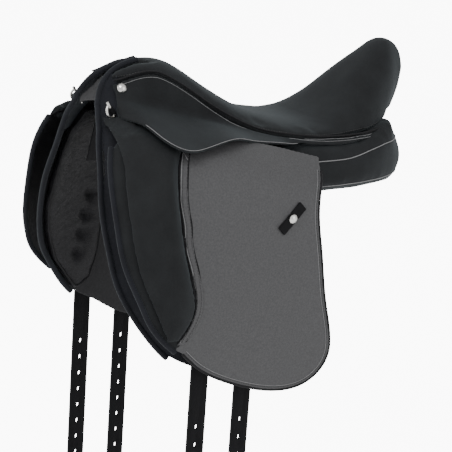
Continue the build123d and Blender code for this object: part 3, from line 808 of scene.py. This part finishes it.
def part_off(obj, name, at, way):
    """Cut a sheet by a plane into the object and a new one on the far side, with crisp cut rims."""
    halves = []
    for keep_far in (False, True):
        bm = bmesh.new()
        bm.from_mesh(obj.data)
        whole = bm.verts[:] + bm.edges[:] + bm.faces[:]
        cut = bmesh.ops.bisect_plane(
            bm, geom=whole, plane_co=at, plane_no=way, clear_inner=keep_far, clear_outer=not keep_far
        )
        rim_edges = [g for g in cut["geom_cut"] if isinstance(g, bmesh.types.BMEdge)]
        bmesh.ops.holes_fill(bm, edges=rim_edges)
        halves.append((bm, {tuple(round(c, 7) for c in v.co) for e in rim_edges for v in e.verts}))
    made = []
    for (bm, rim_points), title in zip(halves, (obj.name, name)):
        for face in bm.faces:
            face.smooth = True
        for edge in bm.edges:
            if all(tuple(round(c, 7) for c in v.co) in rim_points for v in edge.verts):
                edge.smooth = False
        if title == obj.name:
            bm.to_mesh(obj.data)
            bm.free()
            made.append(obj)
        else:
            made.append(add_object(bm, title, obj.data.materials[0]))
    return made[1]


def flap_split(side):
    """Front edge of the grey panel: how far along the saddle the band lies, against height."""
    bm = node_mesh("flap_band_" + side)
    points = sorted((v.co.z, v.co.y) for v in bm.verts)
    bm.free()
    heights = np.array([p[0] for p in points])
    along = np.array([p[1] for p in points])
    levels = np.linspace(heights[0] + 3 * MM, heights[-1] - 3 * MM, 14)
    middles = [along[np.abs(heights - z) < 6 * MM].mean() for z in levels]
    return levels, np.array(middles)


def make_flap(side):
    """Flap: black suede in front of the band, grey leather behind the band, sweat leather inside."""
    node = "flap_" + side
    obj = sheet(node + "_panel", node, node, FLAP_PANEL, 1.6 * MM, 6)
    set_coordinates(obj, raised(coordinates(obj)))
    obj.data.materials.append(SUEDE)
    obj.data.materials.append(SWEAT)
    levels, middles = flap_split(side)
    for face in obj.data.polygons:
        centre = face.center
        split = np.interp(centre.z, levels, middles)
        if centre.z < levels[0]:
            split = middles[0] - (levels[0] - centre.z) * BAND_FOOT_SLOPE
        if face.normal.x * SIDES[side] < -0.3:
            face.material_index = 2
        elif centre.y < split:
            face.material_index = 1
    return obj


def make_sheets(side):
    body, flap = "saddle", "flap_" + side
    made = {}
    made["strip"], made["leaf"] = make_skirt(side)
    made["flap"] = make_flap(side)
    sweat = "sweat_flap_" + side
    made["sweat"] = sheet(sweat + "_leather", sweat, body, SWEAT)
    for name, material, owner, slot in (
        ("flap_front_roll", SUEDE_EDGE, flap, "suede"),
        ("flap_band", FLAP_PANEL, flap, "band"),
        ("seat_welt", PIPING, body, "welt"),
        ("keeper", WEBBING, flap, "webbing"),
    ):
        title = name + "_" + side + "_soft"
        made[name] = sheet(title, name + "_" + side, owner, material, 1.0 * MM, 3)
    end_behind(made["seat_welt"], WELT_END_Y)
    lean_cantle(made["seat_welt"])
    close_to(made["flap"], made["flap_front_roll"])
    return made


def end_behind(obj, y):
    """Cut off what lies behind a place along the saddle and close the cut."""
    bm = bmesh.new()
    bm.from_mesh(obj.data)
    whole = bm.verts[:] + bm.edges[:] + bm.faces[:]
    cut = bmesh.ops.bisect_plane(bm, geom=whole, plane_co=(0, y, 0), plane_no=(0, 1, 0), clear_outer=True)
    bmesh.ops.holes_fill(bm, edges=[g for g in cut["geom_cut"] if isinstance(g, bmesh.types.BMEdge)])
    bm.to_mesh(obj.data)
    bm.free()
    smooth_shade(obj)


def close_to(obj, other, reach_to=EDGE_REACH):
    """Draw the edge of a sheet up to a roll that runs beside it."""
    roll = tree_of(other)
    co = coordinates(obj)
    for i, p in enumerate(co):
        hit, normal, _, away = roll.find_nearest(Vector(p), reach_to)
        if hit is not None:
            pull = float(ease(1.5 * (1 - away / reach_to)))
            co[i] += (np.array(hit - normal * ROLL_BITE) - p) * pull
    set_coordinates(obj, co)


def raised(co):
    """Points of the flap with its top edge carried on up under the skirt."""
    at, axis, _ = skirt_hinge("left")
    line = at.z + (co[:, 1] - at.y) / axis.y * axis.z
    top = ease((co[:, 2] - line + FLAP_TOP_BAND) / 0.018)
    back = ease((co[:, 1] - FLAP_RAISE_FROM) / 0.03) * FLAP_RAISE
    lean = FLAP_LEAN_FRONT - FLAP_LEAN_DROP * ease((co[:, 1] - FLAP_LEAN_CHANGE) / 0.05)
    moved = co.copy()
    moved[:, 2] += back * top
    moved[:, 0] -= np.sign(co[:, 0]) * back * top * lean
    return moved


def tuck_under(obj, cover, side):
    """Press whatever would stand through a covering sheet down below it."""
    sheet_way = skirt_way(side)
    surface = tree_of(cover)
    co = coordinates(obj)
    for i, p in enumerate(co):
        point = Vector(p)
        hit = surface.find_nearest(point, TUCK_REACH)[0]
        if hit is None:
            continue
        above = (point - hit).dot(sheet_way)
        beside_edge = ((point - hit) - sheet_way * above).length
        if above > -TUCK_ROOM:
            share = float(ease(2.2 * (1 - beside_edge / TUCK_REACH)))
            co[i] -= np.array(sheet_way) * (above + TUCK_ROOM) * share
    set_coordinates(obj, co)
    calm(obj)


def raise_block(obj):
    """Carry the front of the block up under the skirt."""
    co = coordinates(obj)
    front = ease((BLOCK_RAISE_Y - co[:, 1]) / 0.045)
    lift = np.maximum(0, co[:, 2] - BLOCK_RAISE_Z) * front * BLOCK_RAISE
    co[:, 2] += lift
    co[:, 0] -= np.sign(co[:, 0]) * lift * BLOCK_LEAN
    set_coordinates(obj, co)


def raise_lobe(obj):
    """Carry the top of the rear panel up to the band and the cantle, and fill its back out."""
    co = coordinates(obj)
    back = ease((co[:, 1] - LOBE_FROM) / 0.055)
    upper = ease((co[:, 2] - LOBE_BASE) / 0.035)
    middle = ease((co[:, 1] - LOBE_MIDDLE_FROM) / 0.04)
    co[:, 2] += (LOBE_MIDDLE_RAISE * middle + (LOBE_RAISE - LOBE_MIDDLE_RAISE) * back) * upper
    slope = ease((co[:, 2] - LOBE_BASE) / 0.06) * ease((co[:, 1] - LOBE_SLOPE_FROM) / 0.05)
    co[:, 1] -= LOBE_SLOPE * back * slope
    set_coordinates(obj, co)


def dent(obj, side):
    """Press the tufts into the panel's front drop."""
    low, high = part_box("panel_front_cover_" + side)
    co = coordinates(obj)
    surface = tree_of(obj)
    for along, height in TUFTS:
        start = Vector((0, low.y + along * (high.y - low.y), low.z + height * (high.z - low.z)))
        hit = surface.ray_cast(start, outward(side))[0]
        if hit is None:
            continue
        away = np.linalg.norm(co - np.array(hit), axis=1)
        push = TUFT_DEPTH * np.exp(-((away / TUFT_REACH) ** 2))
        co += np.array(outward(side)) * push[:, None]
    set_coordinates(obj, co)


def make_pads(side, skirt):
    flap = "flap_" + side
    block = ("block_foam_" + side, "block_cover_" + side)
    rear = ("panel_foam_" + side, "panel_cover_" + side)
    front = ("panel_front_foam_" + side, "panel_front_cover_" + side)
    thigh = pad("thigh_block_" + side, block, flap, SUEDE, BLOCK_VOXEL, 16, BLOCK_PUFF, raise_block)
    tuck_under(thigh, skirt, side)
    lobe = pad("panel_rear_" + side, rear, "saddle", SUEDE, PAD_VOXEL, 10, PAD_PUFF, raise_lobe)
    leaf = pad("panel_front_" + side, front, "saddle", GRAINED, LEAF_VOXEL, 14, DROP_PUFF)
    dent(leaf, side)
    return lobe, leaf


def make_straps(side):
    for end in ("front", "rear"):
        node = f"girth_strap_{end}_{side}"
        obj = add_object(node_mesh(node), node + "_web", WEBBING)
        edge = obj.modifiers.new("edge", "BEVEL")
        edge.width = 0.7 * MM
        edge.segments = 2
        edge.limit_method = "ANGLE"
        apply_modifiers(obj)
        finish_piece(obj, f"{end}_strap_{side}", (node,))


def dress_cad():
    """Materials for the CAD nodes that are shown as they are."""
    # The gullet plate is coloured near black as painted shade for the dark channel under the pommel.
    looks = {"tree": TREE, "gullet_plate": GULLET_SHADE_BLACK}
    for side in SIDES:
        looks.update({
            "stirrup_bar_" + side: STEEL, "bar_rivets_" + side: STEEL, "saddle_nail_" + side: BRIGHT,
            "keeper_stud_" + side: BRIGHT, "front_dee_" + side: BRIGHT, "dee_chape_" + side: WEBBING,
            "girth_web_" + side: WEBBING,
        })
    for node, material in looks.items():
        obj = frame["nodes"][node]
        obj.data.materials.clear()
        obj.data.materials.append(material)
        smooth_shade(obj)


def slab_centre(points, z, side):
    """Middle of the points on one side at a height."""
    near = points[(np.abs(points[:, 2] - z) < 2.5 * MM) & (points[:, 0] * SIDES[side] > 0)]
    return Vector(near.mean(axis=0)) if len(near) else None


def mesh_points(*names):
    bm = node_mesh(*names)
    points = np.array([v.co[:] for v in bm.verts])
    bm.free()
    return points


def cover_sweat_flap(side, obj, roll):
    """Black suede on the outside of the sweat flap, smooth leather inside."""
    obj.data.materials.append(SUEDE_EDGE)
    for face in obj.data.polygons:
        if face.normal.x * SIDES[side] > 0:
            face.material_index = 1
    close_to(obj, roll, SWEAT_REACH)


def make_edge_roll():
    """One roll from the pommel's point down the front edge of each sweat flap."""
    nodes = ("pommel_binding", "sweat_flap_roll_left", "sweat_flap_roll_right")
    bm = node_mesh(*nodes)
    binding = mesh_points("pommel_binding")
    for side in SIDES:
        edge = mesh_points("sweat_flap_roll_" + side)
        low_end = slab_centre(binding, binding[:, 2].min() + 4 * MM, side)
        high_end = slab_centre(edge, edge[:, 2].max() - 3 * MM, side)
        cord_between(bm, low_end, high_end, JOINING_ROLL_R)
    roll = add_object(bm, "edge_roll", SUEDE_EDGE)
    remesh(roll, 1.6 * MM, 5)
    finish_piece(roll, "saddle", nodes)
    return roll


def cord_between(bm, a, b, radius):
    """Round bar from one point to another, added to a mesh."""
    along = b - a
    turn = along.to_track_quat("Z", "Y").to_matrix().to_4x4()
    turn.translation = (a + b) / 2
    depth = along.length + radius
    bmesh.ops.create_cone(
        bm, cap_ends=True, segments=16, radius1=radius, radius2=radius, depth=depth, matrix=turn
    )


def make_front_gusset(side, roll):
    """Suede-covered head of the sweat flap, from the roll back under the skirt's front edge."""
    points = coordinates(roll)
    heights = np.linspace(GUSSET_TOP, GUSSET_BOTTOM, 10)
    front = [slab_centre(points, z, side) for z in heights]
    strip_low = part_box("skirt_band_" + side)[0].y
    band = mesh_points("skirt_band_" + side)
    band = band[band[:, 1] < strip_low + 4 * MM]
    edge = mesh_points("skirt_" + side)
    edge = edge[edge[:, 1] < edge[:, 1].min() + 22 * MM]
    sweat = BVHTree.FromBMesh(node_mesh("sweat_flap_" + side))
    bm = bmesh.new()
    rows = []
    for z, start in zip(heights, front):
        source = band if z > band[:, 2].min() else edge
        near = source[np.argsort(np.abs(source[:, 2] - z))[:12]]
        end = Vector(near.mean(axis=0)) + Vector((-4 * MM * SIDES[side], 8 * MM, 0))
        end.z = z
        if z < GUSSET_FOLLOWS_SWEAT:
            outside = Vector((0.26 * SIDES[side], GUSSET_BACK_Y, z))
            hit = sweat.ray_cast(outside, -outward(side))[0]
            end = (hit or end) + outward(side) * 1 * MM
        rows.append([start.lerp(end, t) for t in np.linspace(0, 1, GUSSET_STEPS)])
    made = [[bm.verts.new(p) for p in row] for row in rows]
    for near, far in zip(made, made[1:]):
        for k in range(GUSSET_STEPS - 1):
            bm.faces.new((near[k], near[k + 1], far[k + 1], far[k]))
    obj = add_object(bm, "sweat_flap_head_" + side, SUEDE_EDGE)
    wall = obj.modifiers.new("wall", "SOLIDIFY")
    wall.thickness = 3 * MM
    wall.offset = 0
    remesh(obj, 1.5 * MM, 12)
    return finish_piece(obj, "saddle", ())


def make_pommel():
    facing = add_object(node_mesh("gullet_facing"), "gullet_facing_leather", FACING)
    remesh(facing, 1.0 * MM, 4)
    finish_piece(facing, "saddle", ("gullet_facing",))
    return make_edge_roll()


# ---- seams ----
def free_edge(node, facing, keep):
    """The stretch of a sheet's rim that a test keeps, as one ordered open line."""
    loop = rim(node, facing)
    kept = [keep(p) for p in loop]
    if all(kept):
        return loop
    count = len(loop)
    best, run = [], []
    for i in range(2 * count):
        if kept[i % count]:
            run.append(loop[i % count])
            if len(run) > len(best) and len(run) <= count:
                best = list(run)
        else:
            run = []
    return best


def seam(points, surface, facing, inset, lift=0.2 * MM, pitch=SEAM_PITCH, rounds=3):
    """A line over a surface: evenly spaced, drawn in from its edge and laid on."""
    line = eased(spaced(points, pitch), rounds)
    line = drawn_in(line, inset, facing)
    return laid_on(line, surface, facing, lift)


def trim_skirt(side, made):
    sheet_way = skirt_way(side)
    leaf_surface = tree_of(made["leaf"])
    strip_surface = tree_of(made["strip"])

    def on_leaf(p):
        return fold_distance(np.array([p]), side)[0][0] > 3 * MM

    def on_rear_band(p):
        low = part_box("skirt_band_" + side)[0]
        return p.y > -0.004 and p.z < low.z + 0.017 and abs(p.x) > 0.05

    edge = eased(spaced(free_edge("skirt_" + side, sheet_way, on_leaf), SEAM_PITCH), 3)
    edge = drawn_in(edge, LEAF_LINE_IN, sheet_way)
    line = beside(edge, leaf_surface, PIPING_LIFT)
    piping("skirt_edge_line_" + side, line, EDGE_LINE_R, "skirt_" + side, GREY_PIPING)
    edge = carried(free_edge("skirt_band_" + side, sheet_way, on_rear_band), leaned)
    line = settled(seam(edge, strip_surface, sheet_way, BAND_LINE_IN))
    piping("rear_band_line_" + side, line, EDGE_LINE_R, "saddle", GREY_PIPING)


def trim_flap(side, made):
    way = outward(side)
    surface = tree_of(made["flap"])
    body = "flap_" + side
    low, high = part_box("flap_" + side)

    def bound(p):
        behind = p.y > (low.y + high.y) / 2
        top = FLAP_CORNER_Z if behind else FLAP_FRONT_CORNER_Z
        return p.z < top or p.z < 0 and p.y > ROLL_END_Y

    edge = carried(free_edge("flap_" + side, way, bound), raised)
    outer = [(p - way * BINDING_DEPTH, way) for p in eased(spaced(edge, SEAM_PITCH), 6)]
    piping("flap_bound_edge_" + side, outer, BINDING_R, body, PIPING)
    row = seam(edge, surface, way, FLAP_STITCHES_IN, STITCH_LIFT, STITCH_PITCH, 6)
    stitches("flap_edge_stitches_" + side, [row], body)
    line = seam(edge, surface, way, FLAP_LINE_IN, CLOSE_LIFT, SEAM_PITCH, 6)
    piping("flap_edge_line_" + side, line, FINE_LINE_R, body, GREY_PIPING)
    band = tree_of(made["flap_band"])
    levels, middles = flap_split(side)

    def along_band(shift, pitch, on):
        line = [Vector((0.15 * SIDES[side], y + shift, z)) for z, y in zip(levels, middles)]
        return laid_on(eased(spaced(line, pitch), 3), on, way, STITCH_LIFT)

    rows = [along_band(shift, STITCH_PITCH, band) for shift in BAND_ROWS]
    stitches("band_stitches_" + side, rows, body)
    name, shift, radius = BAND_EDGE
    piping(name + side, along_band(shift, SEAM_PITCH, band), radius, body, GREY_PIPING)
    for name, shift, radius in BAND_SHADOWS:
        piping(name + side, along_band(shift, SEAM_PITCH, surface), radius, body, PIPING)


def settled(placed, rounds=4):
    """The same line on a surface with its small jumps smoothed away."""
    points = eased([p for p, _ in placed], rounds)
    ways = eased([way for _, way in placed], rounds)
    return [(p, way.normalized()) for p, way in zip(points, ways)]


def beside(line, surface, lift):
    """A line taken to the nearest places on a surface."""
    placed = []
    for p in line:
        hit, normal, _, _ = surface.find_nearest(p, 0.03)
        if hit is not None:
            placed.append((hit + normal * lift, normal))
    return settled(placed)


def trim_seat(side, seat, strip):
    """Stitching above and below the welt between the seat and the skirt."""
    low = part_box("seat_welt_" + side)[0]
    points = mesh_points("seat_welt_" + side)
    line = []
    for y in np.linspace(low.y + 4 * MM, WELT_END_Y, 90):
        near = points[np.abs(points[:, 1] - y) < 4 * MM]
        line.append(Vector(near.mean(axis=0)))
    line = carried(line, leaned)
    above = spaced([p + Vector((0, 0, SEAT_STITCHES_UP)) for p in line], STITCH_PITCH)
    row = beside(above, tree_of(seat), STITCH_LIFT)
    stitches("seat_stitches_" + side, [row], "saddle")
    shift = Vector((SKIRT_SEAM_OUT * SIDES[side], 0, -SKIRT_SEAM_DOWN))
    below = spaced([p + shift for p in line], SEAM_PITCH)
    placed = beside(below, tree_of(strip), CLOSE_LIFT)
    piping("skirt_seam_line_" + side, placed, FINE_LINE_R, "saddle", GREY_PIPING)


def round_rays(surface, side, heights):
    """Places round the outside of the rear panel at given heights, front to back."""
    placed = []
    along = np.linspace(-0.02, LOBE_TURN[1], 40)
    starts = []
    for y, z in zip(along, heights(along)):
        starts.append((Vector((0.2 * SIDES[side], y, z)), -outward(side)))
    for turn in np.linspace(0, LOBE_TURN_DEGREES, 26):
        way = Vector((math.cos(math.radians(turn)) * SIDES[side], math.sin(math.radians(turn)), 0))
        centre = Vector((LOBE_TURN[0] * SIDES[side], LOBE_TURN[1], float(heights(0.14 + 0.0007 * turn))))
        starts.append((centre + way * 0.15, -way))
    for start, way in starts:
        hit, normal, _, _ = surface.ray_cast(start, way, 0.2)
        if hit is not None:
            placed.append((hit + normal * PIPING_LIFT, normal))
    return settled(placed, 5)


def trim_panels(side, lobe, drop):
    """Piped seams of the rear panel and the piped rim of its front drop."""
    surface = tree_of(lobe)

    def lower_seam(y):
        return LOWER_SEAM_Z + 0 * np.asarray(y)

    def upper_seam(y):
        return UPPER_SEAM_Z + UPPER_SEAM_RISE * ease((np.asarray(y) - 0.06) / 0.1)

    for name, heights in (("panel_lower_piping_", lower_seam), ("panel_upper_piping_", upper_seam)):
        line = round_rays(surface, side, heights)
        piping(name + side, line, PANEL_PIPING_R, "saddle", GREY_PIPING)
    rim_line = rim("panel_front_cover_" + side, -outward(side))
    placed = beside(eased(spaced(rim_line, 4 * MM, True), 4, True), tree_of(drop), PIPING_LIFT)
    piping("panel_drop_piping_" + side, placed, DROP_PIPING_R, "saddle", PIPING, closed=True)


# ---- stage ----
def make_stage():
    mesh = bpy.data.meshes.new("floor")
    z = CAD_BOX[0][2] - FLOOR_DROP
    size = FLOOR_SIZE
    corners = [(-size, -size, z), (size, -size, z), (size, size, z), (-size, size, z)]
    mesh.from_pydata(corners, [], [(0, 1, 2, 3)])
    floor = bpy.data.objects.new("floor", mesh)
    bpy.context.scene.collection.objects.link(floor)
    material, nodes, links, shader, _ = new_material("floor_paint")
    shader.inputs["Base Color"].default_value = (0.9, 0.9, 0.9, 1)
    shader.inputs["Roughness"].default_value = 0.9
    shader.inputs["Emission Color"].default_value = (1, 1, 1, 1)
    seen = nodes.new("ShaderNodeLightPath").outputs["Is Camera Ray"]
    links.new(ramp(nodes, links, seen, FLOOR_BOUNCE, FLOOR_GLOW, 0, 1), shader.inputs["Emission Strength"])
    mesh.materials.append(material)


def area_light(name, place, size, power):
    light = bpy.data.lights.new(name, "AREA")
    light.energy = power
    light.size = size
    obj = bpy.data.objects.new(name, light)
    obj.location = place
    obj.rotation_euler = (LIGHTS_AIM - Vector(place)).to_track_quat("-Z", "Y").to_euler()
    bpy.context.scene.collection.objects.link(obj)


def make_lights():
    world = bpy.data.worlds.new("studio")
    world.use_nodes = True
    world.node_tree.nodes["Background"].inputs["Color"].default_value = (1, 1, 1, 1)
    world.node_tree.nodes["Background"].inputs["Strength"].default_value = 1.0
    bpy.context.scene.world = world
    for name, place, size, power in LIGHTS:
        area_light(name, place, size, power)


def make_camera():
    data = bpy.data.cameras.new("camera")
    data.lens = LENS
    data.sensor_width = SENSOR
    data.clip_end = 60
    camera = bpy.data.objects.new("camera", data)
    camera.location = CAMERA_PLACE
    look = (CAMERA_TARGET - CAMERA_PLACE).to_track_quat("-Z", "Y").to_matrix().to_4x4()
    turn = look @ Vector((0, 0, 1, 0))
    camera.rotation_euler = (Matrix.Rotation(CAMERA_ROLL, 4, turn.to_3d()) @ look).to_euler()
    bpy.context.scene.collection.objects.link(camera)
    bpy.context.scene.camera = camera


SEAT = make_seat()
ROLL = make_pommel()
for hand in SIDES:
    sheets = make_sheets(hand)
    lobe, drop = make_pads(hand, sheets["leaf"])
    make_straps(hand)
    cover_sweat_flap(hand, sheets["sweat"], ROLL)
    make_front_gusset(hand, ROLL)
    trim_skirt(hand, sheets)
    trim_flap(hand, sheets)
    trim_seat(hand, SEAT, sheets["strip"])
    trim_panels(hand, lobe, drop)
dress_cad()
make_stage()
make_lights()
make_camera()
